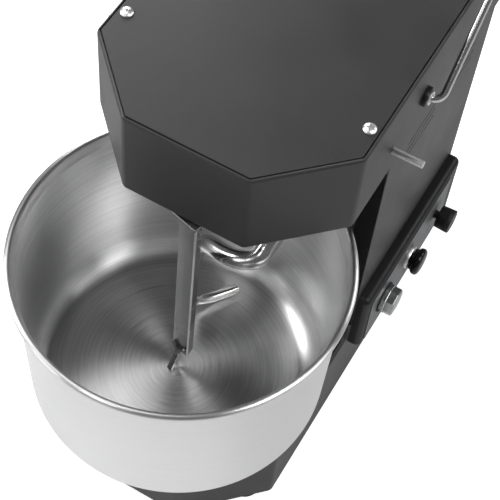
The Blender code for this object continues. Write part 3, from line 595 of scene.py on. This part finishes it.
# %% [markdown]
# ## The control box and its label
# A shallow box of folded steel stands on the side of the column, coated near black, with its outer
# edges well rounded. A satin foil label with rounded corners lies on its face. The only marks are a
# dial of ticks and figures round the knob and the plain signs for on and off.

# %% Control box
FACE = HALF + GAP + 0.0112
PRINT = FACE + 0.0009                    # the label's own face
SEAT = PRINT + GAP
BOX_Y, BOX_Z, BOX_ROUND, CONTROL_Z = (0.1225, 0.3145), (0.091, 0.173), 0.006, 0.135
KNOB_Y, STOP_Y, START_Y = 0.2682, 0.2114, 0.1599
box = block((HALF + GAP, BOX_Y[0], BOX_Z[0]), (FACE, BOX_Y[1], BOX_Z[1]))
bpy.ops.object.transform_apply(location=True, rotation=True, scale=True)
bpy.ops.object.mode_set(mode="EDIT")
pick(lambda edge: max(v.co.x for v in edge.verts) > at(FACE, 0, 0).x - 1e-4, "edges")
bpy.ops.mesh.bevel(offset=BOX_ROUND, segments=7, affect="EDGES")
margin = BOX_ROUND + 0.0008
label = block((FACE + GAP, BOX_Y[0] + margin, BOX_Z[0] + margin),
              (PRINT, BOX_Y[1] - 3 * margin, BOX_Z[1] - margin))
bpy.ops.object.transform_apply(location=True, rotation=True, scale=True)
bpy.ops.object.mode_set(mode="EDIT")
pick(lambda edge: abs((edge.verts[0].co - edge.verts[1].co).x) > 1e-4, "edges")
bpy.ops.mesh.bevel(offset=0.005, segments=6, affect="EDGES")
for y, radius in ((KNOB_Y, 0.0047), (STOP_Y, 0.0067), (START_Y, 0.0067)):
    for piece in (box, label):
        carve(piece, drill(at(FACE, y, CONTROL_Z), radius, 0.0215, "X", 40))
finish(box, "control_box_shell", "housing", coat_dark, ["control_box"],
       weighted=True)
finish(label, "control_label_foil", "housing", foil, ["control_label"], weighted=True)

# %% Dial marks
DIAL = 0.0192
marks = []
for n in range(11):
    a = math.radians(240 - 30 * n)
    out, across = Vector((0, math.cos(a), math.sin(a))), Vector((0, -math.sin(a), math.cos(a)))
    hub = at(PRINT, KNOB_Y, CONTROL_Z)
    long = n % 5 == 0
    inner, outer, wide = 0.0132, 0.0150 + 0.0012 * long, 0.00025 + 0.0002 * long
    corners = [hub + out * r + across * w for r, w in ((inner, -wide), (outer, -wide),
                                                       (outer, wide), (inner, wide))]
    marks.append(prism(corners, (0.00008, 0, 0)))
# text written on a face that looks along +X
TURN = Matrix(((0, 0, 1), (1, 0, 0), (0, 1, 0))).to_4x4()
words = [(str(n), KNOB_Y + DIAL * math.cos(math.radians(240 - 60 * n / 2)),
          CONTROL_Z + DIAL * math.sin(math.radians(240 - 60 * n / 2)), 0.0048) for n in (0, 5, 10)]
words += [(sign, y, CONTROL_Z + 0.0212, 0.006) for sign, y in (("O", STOP_Y), ("I", START_Y))]
for text, y, z, size in words:
    begin()
    bpy.ops.object.text_add()
    sign = bpy.context.object
    sign.data.body, sign.data.size, sign.data.extrude = text, size, 0.00004
    sign.data.align_x = sign.data.align_y = "CENTER"
    bpy.ops.object.convert(target="MESH")
    sign.data.transform(Matrix.Translation(at(PRINT + 0.00004, y, z)) @ TURN)
    marks.append(sign)
finish(join(*marks), "control_label_print", "housing", print_ink)

# %% [markdown]
# ## Knob, stop button and start button
# The speed knob is a plain turned cap with fine grip flutes, on a thin spindle. The stop button is
# a waisted glossy mushroom in a bright ring. The start button is an eight-sided clear cap in an
# eight-sided collar, which is what spinning a profile in only eight steps gives.

# %% Speed knob
FLUTES, KNOB_STEPS = 40, 120
knob_at = at(SEAT, KNOB_Y, CONTROL_Z)
knob = turned([(0, 0.0181), (0.0100, 0.0181), (0.0105, 0.0183), (0.0112, 0.0181), (0.0117, 0.0175),
               (0.0115, 0.0130), (0.0113, 0.0085), (0.0111, 0.0046), (0.0106, 0.0040),
               (0.0040, 0.0040), (0.0040, -0.0060), (0, -0.0060)], knob_at, "X", KNOB_STEPS)
bpy.ops.mesh.select_mode(type="VERT")
bpy.ops.mesh.select_all(action="DESELECT")
shape = bmesh.from_edit_mesh(knob.data)
for vert in shape.verts:
    from_axis = Vector((vert.co - (knob_at - knob.location)).yz)
    column = round(math.atan2(from_axis.y, from_axis.x) / (2 * math.pi) * KNOB_STEPS)
    along = (vert.co + knob.location - knob_at).x
    vert.select_set(from_axis.length > 0.0108 and 0.005 < along < 0.0178
                     and column % (KNOB_STEPS // FLUTES) == 0)
shape.select_flush_mode()
bpy.ops.transform.resize(value=(1, 0.972, 0.972), center_override=knob_at)
finish(knob, "speed_knob_cap", "speed_knob", knob_black, ["speed_knob"], angle=50)
pointer = block((SEAT + 0.0181, KNOB_Y + 0.0020, CONTROL_Z - 0.0004),
                (SEAT + 0.01826, KNOB_Y + 0.0100, CONTROL_Z + 0.0004))
round_edges(pointer, 0.00007, 2)
finish(pointer, "speed_knob_pointer", "speed_knob", print_white)

# %% Stop button and ring
stop_at, start_at = at(SEAT, STOP_Y, CONTROL_Z), at(SEAT, START_Y, CONTROL_Z)
finish(turned([(0.0055, 0.0006), (0.0104, 0.0006), (0.0106, 0.0010), (0.0106, 0.0022),
               (0.0108, 0.0026), (0.0112, 0.0026), (0.0115, 0.0021), (0.0115, 0), (0.0063, 0),
               (0.0063, -0.0065), (0.0055, -0.0065), (0.0055, 0.0006)], stop_at, "X", 64),
       "stop_ring_chrome", "housing", zinc, ["stop_ring"])
finish(turned([(0, 0.0150), (0.0050, 0.0149), (0.0090, 0.0145), (0.0112, 0.0139), (0.0126, 0.0130),
               (0.0133, 0.0116), (0.0133, 0.0102), (0.0131, 0.0090), (0.0125, 0.0078),
               (0.0116, 0.0069), (0.0106, 0.0062), (0.0104, 0.0050), (0.0103, 0.0040),
               (0.0099, 0.0038), (0.0050, 0.0038), (0.0050, -0.0060), (0, -0.0060)], stop_at, "X",
              64), "stop_button_mushroom", "stop_button", gloss_black,
       ["stop_button"])

# %% Start button, collar and gasket
bezel = turned([(0.0055, 0.0006), (0.0139, 0.0006), (0.0141, 0.0010), (0.0141, 0.0048),
                (0.0143, 0.0052), (0.0145, 0.0048), (0.01455, 0.0004), (0.0143, 0), (0.0063, 0),
                (0.0063, -0.0065), (0.0055, -0.0065), (0.0055, 0.0006)], start_at, "X", 8)
bezel = finish(bezel, "start_bezel_clear", "housing", clear_grey,
               ["start_bezel"], angle=20)
bezel.data.materials.append(zinc)
for face in bezel.data.polygons:         # the bright lip round the cap
    face.material_index = int(face.center.x > start_at.x + 0.0047)
finish(turned([(0.0147, 0), (0.0153, 0), (0.0155, 0.0003), (0.0152, 0.0011), (0.0147, 0.0012),
               (0.0147, 0)], start_at, "X", 64), "start_gasket_black", "housing", rubber)
lens = turned([(0, 0.0134), (0.0112, 0.0134), (0.0122, 0.0133), (0.0132, 0.0129), (0.0138, 0.0121),
               (0.0138, 0.0034), (0.0050, 0.0034), (0.0050, -0.0060), (0, -0.0060)], start_at, "X",
              8)
finish(lens, "start_button_lens", "start_button", clear_grey,
       ["start_button"], angle=20)

# %% [markdown]
# ## The bowl
# The bowl is spun from a flat disc: a floor, a filleted corner, a wall that opens slightly, a
# sloping lip, and a bead rolled at the rim. The whole section is drawn once, up the inside and down
# the outside, and spun in fine steps so that the rim stays round in close reflections.

# %% Bowl
RIM, BOWL_TOP, FLOOR, SHEET, FILLET, BEAD = 0.140, 0.3123, 0.131, 0.0015, 0.025, 0.003
wall_top, wall_low = 0.1332, 0.1293
turns = [math.radians(7.5 * i) for i in range(13)]


def corner(offset):
    return [(wall_low - FILLET + (FILLET - offset) * math.sin(a),
             FLOOR + FILLET - (FILLET - offset) * math.cos(a)) for a in turns]


bead_r, bead_z = RIM - BEAD, BOWL_TOP - BEAD
bead = [(bead_r + BEAD * math.cos(math.radians(a)), bead_z + BEAD * math.sin(math.radians(a)))
        for a in range(150, -80, -15)]
floor_in = [(r, FLOOR + SHEET) for r in (0, 0.03, 0.06, 0.09)]
floor_out = [(r, FLOOR) for r in (0.09, 0.06, 0.03, 0)]
section = [*floor_in, *corner(SHEET), (wall_top - SHEET, bead_z - 0.0095),
           (wall_top - SHEET + 0.0001, bead_z - 0.0085), (wall_top - 0.0005, bead_z - 0.0070),
           (wall_top + 0.0004, bead_z - 0.0023), *bead, (wall_top + 0.0014, bead_z - 0.0043),
           (wall_top, bead_z - 0.0085), *reversed(corner(0)), *floor_out]
bowl = turned(section, at(0, 0, 0), steps=160)
bowl = finish(bowl, "bowl_spun", "bowl", spun, ["bowl"], angle=60)
bowl.data.materials.append(spun_outside)
for face in bowl.data.polygons:
    outward = Vector((face.center.x - AXIS.x, face.center.y - AXIS.y, 0)).dot(face.normal)
    if face.center.z < bead_z - 0.004 and (outward > 0.01 or face.normal.z < -0.5):
        face.material_index = 1

# %% Bowl hub and its bearing
under = FLOOR - GAP
finish(turned([(0, under), (0.044, under), (0.0458, under - 0.0008), (0.047, under - 0.003),
               (0.040, under - 0.0062), (0.030, under - 0.009), (0.0250, under - 0.0115),
               (0.0235, DECK + 0.0045), (0.0120, DECK + 0.0045), (0.0120, 0.042), (0, 0.042)],
              at(0, 0, 0), steps=72), "bowl_hub_turned", "bowl", machined,
       ["bowl_shaft"])
finish(turned([(0.0125, DECK + 0.0040), (0.0220, DECK + 0.0040), (0.0232, DECK + 0.0034),
               (0.0240, DECK + 0.0020), (0.0240, DECK + GAP), (0.0160, DECK + GAP),
               (0.0160, DECK - 0.026), (0.0125, DECK - 0.026), (0.0125, DECK + 0.0040)],
              at(0, 0, 0), steps=64), "bowl_bearing_turned", "housing", machined,
       ["bowl_bearing"])

# %% [markdown]
# ## The spiral hook
# The hook is one polished rod, 16 mm thick, forged round into a coil under its hub and drawn
# thinner towards a low tail that sweeps the bowl's floor. Its centre line goes through stations
# written as angle, radius and height round the hook's axis, joined by a smooth curve, and the rod's
# thickness runs along it. The hub and the shaft are turned.

# %% Hook
STATIONS = [(75, 6, .3570, 1), (40, 12, .3545, 1), (8, 20, .3470, 1), (-25, 27, .3340, 1),
            (-47, 33, .3230, 1), (-56, 38, .3180, 1), (-66, 39.2, .3135, 1), (-82, 38.4, .3084, 1),
            (-103, 36.3, .3015, 1), (-122, 37, .2955, 1), (-138, 40, .2870, 1),
            (-149, 44.5, .2700, .96), (-155, 48, .2480, .88), (-158, 50, .2220, .79),
            (-161, 50.6, .1950, .71), (-164, 50.8, .1700, .65), (-168, 50.6, .1530, .61),
            (-175, 49, .1470, .60), (-184, 45, .1425, .60), (-195, 40.6, .1402, .60),
            (-216, 37.9, .1395, .60), (-231, 39.5, .1395, .60)]


def smooth_path(stops, per_span):
    """A Catmull-Rom curve through stops of any number of values."""
    ends, path = [stops[0], *stops, stops[-1]], []
    for k in range(len(stops) - 1):
        for t in (i / per_span for i in range(per_span)):
            path.append([0.5 * (2 * b + (c - a) * t + (2 * a - 5 * b + 4 * c - d) * t ** 2
                                + (3 * b - a - 3 * c + d) * t ** 3)
                         for a, b, c, d in zip(*ends[k:k + 4])])
    return path + [list(stops[-1])]


route = smooth_path([(HOOK[0] + r / 1000 * math.cos(math.radians(a)),
                      HOOK[1] + r / 1000 * math.sin(math.radians(a)), z, share)
                     for a, r, z, share in STATIONS], 7)
hook = rod([at(*p[:3]) for p in route], 0.008, [p[3] for p in route], round_end=0.12)
hub = turned([(0, 0.3920), (0.0100, 0.3920), (0.0100, 0.3663), (0.0162, 0.3660), (0.0192, 0.3648),
              (0.0200, 0.3630), (0.0200, 0.3520), (0.0192, 0.3500), (0.0170, 0.3490), (0, 0.3490)],
             at(*HOOK, 0), steps=64)
finish(join(hook, hub), "hook_rod_polished", "hook", polished,
       ["spiral_hook"])
finish(turned([(0.0105, 0.3765), (0.0160, 0.3765), (0.0160, HEAD_LOW - GAP),
               (0.0260, HEAD_LOW - GAP), (0.0258, 0.3682), (0.0250, 0.3670), (0.0105, 0.3670),
               (0.0105, 0.3765)], at(*HOOK, 0), steps=64), "hook_bearing_turned", "housing",
       machined, ["hook_bearing"])

# %% [markdown]
# ## The breaker bar
# A flat ground bar hangs from a flange under the head. It is turned a little on its own axis and
# leans slightly, its long edges are broken by a narrow chamfer whose light zinc colour is a painted
# highlight, and its foot is cut away behind. A forked scraper finger is welded on the foot and
# reaches to the bowl's centre.

# %% Breaker bar and flange
BAR, TURN_BAR, LEAN, FOOT = (0.002, 0.007), math.radians(-14.4), 0.0016, 0.1535
WIDE, THICK, BAR_TOP = 0.0185 / 2, 0.008 / 2, HEAD_LOW - 0.0035


def on_bar(x, y, z):
    """A place in the bar's own turned axes."""
    c, s = math.cos(TURN_BAR), math.sin(TURN_BAR)
    return at(BAR[0] + c * x - s * y, BAR[1] + s * x + c * y, z)


bar = prism([on_bar(x - LEAN, y, z) for x, y, z in ((-WIDE, -THICK, FOOT), (WIDE, -THICK, FOOT),
                                                    (WIDE, THICK, FOOT + 0.008),
                                                    (-WIDE, THICK, FOOT + 0.008))], (0, 0, 0.01))
pick(lambda face: face.normal.z > 0.5)
shape = bmesh.from_edit_mesh(bar.data)
lift = on_bar(2 * LEAN, 0, 0) - on_bar(0, 0, 0)
for vert in (v for v in shape.verts if v.select):
    vert.co = vert.co + Vector((lift.x, lift.y, BAR_TOP - GAP - (vert.co.z + bar.location.z)))
bmesh.update_edit_mesh(bar.data)
round_edges(bar, 0.0012, 1)
bar = finish(bar, "breaker_bar_ground", "housing", ground, ["breaker_bar"],
             angle=25)
bar.data.materials.append(zinc)
for face in bar.data.polygons:           # the chamfered long edges, given the light zinc colour as a painted highlight
    turned_by = math.degrees(math.atan2(face.normal.y, face.normal.x) - TURN_BAR) % 90
    face.material_index = int(abs(face.normal.z) < 0.3 and 30 < turned_by < 60)
flange = prism([on_bar(x, y, BAR_TOP) for x, y in ((-0.017, -0.010), (0.015, -0.010),
                                                   (0.015, 0.014), (-0.017, 0.014))],
               (0, 0, HEAD_LOW - GAP - BAR_TOP))
round_edges(flange, 0.0008, 3)
finish(flange, "breaker_flange_plate", "housing", ground, ["breaker_flange"],
       weighted=True)

# %% Forked finger
fork = [(-0.0086, 0.1650), (-0.0072, 0.1668), (-0.0018, 0.1606), (0.0042, 0.1668), (0.0056, 0.1650),
        (0.0008, 0.1572), (0.0008, 0.1535), (0.0008, 0.1359), (-0.0008, 0.1350), (-0.0026, 0.1350),
        (-0.0042, 0.1359), (-0.0042, 0.1535), (-0.0042, 0.1572)]
front = -THICK - GAP
thickness = on_bar(0, 0.0026, 0) - on_bar(0, 0, 0)
finger = prism([on_bar(x, front - 0.0026, z) for x, z in fork], thickness)
pick(lambda face: (face.calc_center_median().z + finger.location.z) < 0.1362)
shape = bmesh.from_edit_mesh(finger.data)
forward = on_bar(0, -0.0098, 0) - on_bar(0, 0, 0)
for vert in shape.verts:
    drop = (0.1560 - (vert.co.z + finger.location.z)) / 0.0200
    if drop > 0:
        vert.co += Vector((forward.x, forward.y, 0)) * min(drop, 1)
bmesh.update_edit_mesh(finger.data)
round_edges(finger, 0.0003, 2)
finish(finger, "breaker_finger_forked", "housing", ground, ["breaker_finger"],
       angle=25, weighted=True)

# %% [markdown]
# ## The bowl guard
# The guard is bent rod: a hoop that follows the bowl, pivoted in bushes on the head, a lower rim
# rod, uprights and cross bars welded between. It is drawn here as it lies when it is down, and then
# turned up round its hinge by the angle that it rests at. The turn is worked out point by point.

# %% Guard rods
OPEN, ARM, RIM_ROD, DROP = math.radians(-132.8), 0.1258, 0.136, 0.078


def swung(x, y, z):
    """A place on the lowered guard, measured from the hinge, turned up to where the guard rests."""
    c, s = math.cos(OPEN), math.sin(OPEN)
    return at(x, PIVOT[0] + c * y - s * z, PIVOT[1] + s * y + c * z)


def ring_points(radius, start, end, count, drop):
    turns = [math.radians(start + (end - start) * i / (count - 1)) for i in range(count)]
    return [(radius * math.cos(t), radius * math.sin(t) - PIVOT[0], drop) for t in turns]


bend = [(ARM - 0.009 + 0.009 * math.sin(t), -0.009 + 0.009 * math.cos(t), 0)
        for t in (math.radians(9 * i) for i in range(11))]
right = [(0.098, 0, 0)] + bend
hoop_line = right + ring_points(ARM, 0, -180, 61, 0) + [(-x, y, z) for x, y, z in reversed(right)]
finish(rod([swung(*p) for p in hoop_line], 0.003), "guard_hoop_rod", "guard", polished,
       ["guard_hoop"])
finish(rod([swung(*p) for p in ring_points(RIM_ROD, -10, -170, 49, -DROP)], 0.0025),
       "guard_rim_bent_rod", "guard", polished, ["guard_rim_rod"])
slant = Vector((RIM_ROD - ARM, -DROP)).normalized()
for n, angle in enumerate((-14, -52, -90, -128, -166)):
    t = math.radians(angle)
    ends = [(ARM + slant.x * 0.0033, slant.y * 0.0033),
            (RIM_ROD - slant.x * 0.0028, -DROP - slant.y * 0.0028)]
    finish(rod([swung(r * math.cos(t), r * math.sin(t) - PIVOT[0], z) for r, z in ends], 0.002),
           f"guard_upright_rod_{n + 1}", "guard", polished,
           [f"guard_upright_{n + 1}"])
for n, y in enumerate((-0.030, -0.062, -0.094)):
    half = math.sqrt((ARM - 0.0033) ** 2 - y ** 2) - 0.0022
    finish(rod([swung(-half, y - PIVOT[0], 0), swung(half, y - PIVOT[0], 0)], 0.002),
           f"guard_cross_rod_{n + 1}", "guard", polished,
           [f"guard_cross_bar_{n + 1}"])

# %% [markdown]
# ## Hinge bushes, washers and stop pins
# The guard's ends run in black bushes with a bright washer in front. Two slotted spring pins stop
# it: a strip of spring steel rolled to a C, so its end shows a ring with a gap. Its section is
# drawn and extruded, and the slot looks up and forward.

# %% Bushes, washers and spring pins
bush = [(0.0034, 0.0034), (0.0036, 0.0036), (0.0074, 0.0036), (0.0080, 0.0033), (0.0083, 0.0027),
        (0.0083, 0), (0.0052, 0), (0.0052, -0.0060), (0.0034, -0.0060), (0.0034, 0.0034)]
washer = [(0.0034, 0.0051), (0.0035, 0.0052), (0.0058, 0.0052), (0.0060, 0.0050), (0.0060, 0.0039),
          (0.0034, 0.0039), (0.0034, 0.0051)]
for side, tag in ((1, "right"), (-1, "left")):
    place = at(side * (HALF + GAP), *PIVOT)
    finish(turned(bush, place, "X", 48, side), f"guard_bush_{tag}_cap", "housing", knob_black,
           [f"guard_bush_{tag}"])
    finish(turned(washer, place, "X", 48, side), f"guard_washer_{tag}_ring", "housing", zinc,
           [f"guard_washer_{tag}"])
    gap_way, opening = math.radians(120), math.radians(24)
    sweep = [gap_way + opening + (2 * math.pi - 2 * opening) * i / 28 for i in range(29)]
    ring = [(0.0030, a) for a in sweep] + [(0.0019, a) for a in reversed(sweep)]
    start_x = side * (HALF + GAP)
    pin = prism([at(start_x, 0.116 + r * math.cos(a), 0.403 + r * math.sin(a)) for r, a in ring],
                (side * 0.026, 0, 0))
    round_edges(pin, 0.0002, 2, 50)
    finish(pin, f"stop_pin_{tag}_rolled", "housing", zinc, [f"stop_pin_{tag}"],
           weighted=True)

# %% [markdown]
# ## The drive inside
# Motor, belt, chains, sprockets and bearings sit behind the panels and show only when the machine
# is opened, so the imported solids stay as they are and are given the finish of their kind.

# %% Finishes for the drive
KINDS = {"bottom_plate": coat, "drive_belt": rubber, "motor": cast, "motor_pulley": cast,
         "layshaft_pulley": cast}
for name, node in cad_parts.items():
    if not node.hide_render:
        node.data.materials.clear()
        node.data.materials.append(KINDS.get(name, machined))
        print("kept as packed:", name)

# %% [markdown]
# ## Floor, light and camera
# A pale table in a white room, lit the way a product studio does it: a soft key lamp on the left, a
# high one on the right, weak fills, and cards that show only in reflections. The table and the room
# look white to the camera but give little light, so that the metal has both light and dark to
# reflect. The camera looks down from the front right with a long lens, and a small shift keeps the
# machine where it stands in the frame.

# %% Floor
TABLE_SEEN, TABLE_GLOW, ROOM_SEEN, ROOM_GLOW = 0.85, 0.24, 0.92, 0.15
begin()
bpy.ops.mesh.primitive_plane_add(size=80.0, location=(0, 0, 0))
table_top = bpy.context.object
table_top.name = "studio_table"
table_look, tree, shader, where = new_look("studio_table_white", Roughness=0.8)
tone = add(tree, "TexNoise", {"Vector": where, "Scale": 3.0}).outputs["Fac"]
tree.links.new(ramp(tree, tone, 0.3, 0.7, "#f2f2f2", "#f6f6f6"), shader.inputs["Base Color"])
shader.inputs["Emission Color"].default_value = (1, 1, 1, 1)
seen = add(tree, "LightPath").outputs["Is Camera Ray"]
tree.links.new(spread(tree, seen, 0, 1, TABLE_GLOW, TABLE_SEEN), shader.inputs["Emission Strength"])
table_top.data.materials.append(table_look)
table_top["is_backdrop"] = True

# %% Room and lamps
scene = bpy.context.scene
scene.view_settings.view_transform = "Standard"
world = bpy.data.worlds.new("studio_room")
scene.world = world
world.use_nodes = True
room = world.node_tree
room.nodes["Background"].inputs["Color"].default_value = linear("#ffffff")
seen = add(room, "LightPath").outputs["Is Camera Ray"]
room.links.new(spread(room, seen, 0, 1, ROOM_GLOW, ROOM_SEEN),
               room.nodes["Background"].inputs["Strength"])


def lamp(name, place, target, size, power):
    begin()
    bpy.ops.object.light_add(type="AREA", location=place)
    made = bpy.context.object
    made.name = name
    made.data.shape, made.data.size, made.data.size_y = "RECTANGLE", *size
    made.data.energy = power
    made.rotation_mode = "QUATERNION"
    made.rotation_quaternion = (Vector(target) - Vector(place)).to_track_quat("-Z", "Y")
    return made


middle = at(0, 0, 0.2)
for name, place, size, power, on_coat in (
        ("lamp_left", (-1.3, -0.3, 0.9), (0.6, 0.9), 13, True),
        ("lamp_right_high", (1.0, 0.0, 1.5), (0.6, 0.6), 10.5, True),
        ("lamp_above_left", (-0.55, 0.25, 1.5), (0.5, 0.9), 4.2, True),
        ("lamp_front_left", (-1.1, -1.3, 0.8), (0.6, 0.6), 4, True),
        ("card_above_front", (-0.3, -0.9, 1.4), (0.4, 0.4), 2.5, False),
        ("card_right_high", (0.8, 0.1, 1.5), (0.5, 0.5), 2, False),
        ("card_back_left", (-0.9, 1.2, 0.9), (0.6, 0.6), 16, False),
        ("card_back_right", (0.9, 1.2, 0.9), (0.6, 0.6), 5.5, False),
        ("card_left_high", (-1.2, -0.1, 1.2), (0.4, 0.4), 4, False),
        ("card_right", (1.3, 0.3, 0.9), (0.6, 0.9), 4, False)):
    lamp(name, middle + Vector(place), middle, size, power).visible_diffuse = on_coat
    print(f"{name}: {power} W")

# %% Camera
AZIMUTH, DOWN, ROLL, LENS = 0.475, 1.01, 0.07, 103.49
CAMERA_AT = (0.292805, -0.639487, 1.268162)
look = Vector((-math.sin(AZIMUTH) * math.cos(DOWN), math.cos(AZIMUTH) * math.cos(DOWN),
               -math.sin(DOWN)))
level = Vector((math.cos(AZIMUTH), math.sin(AZIMUTH), 0))
up = level.cross(look)
side_way = level * math.cos(ROLL) + up * math.sin(ROLL)
up_way = up * math.cos(ROLL) - level * math.sin(ROLL)
bpy.ops.object.camera_add()
camera = bpy.context.object
camera.name = "camera_front_right"
camera.data.sensor_width, camera.data.lens = 36, LENS
camera.data.shift_x, camera.data.shift_y = 0.0794, 0.0199
camera.matrix_world = (Matrix.Translation(CAMERA_AT)
                       @ Matrix((side_way, up_way, -look)).transposed().to_4x4())
scene.camera = camera
print("camera looks down by", round(math.degrees(DOWN), 1), "degrees")

# %% [markdown]
# ## Sizes
# The bounds of every shown piece are measured, the table left out. The looks must stay
# inside the imported model's box.

# %% Sizes
low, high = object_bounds()
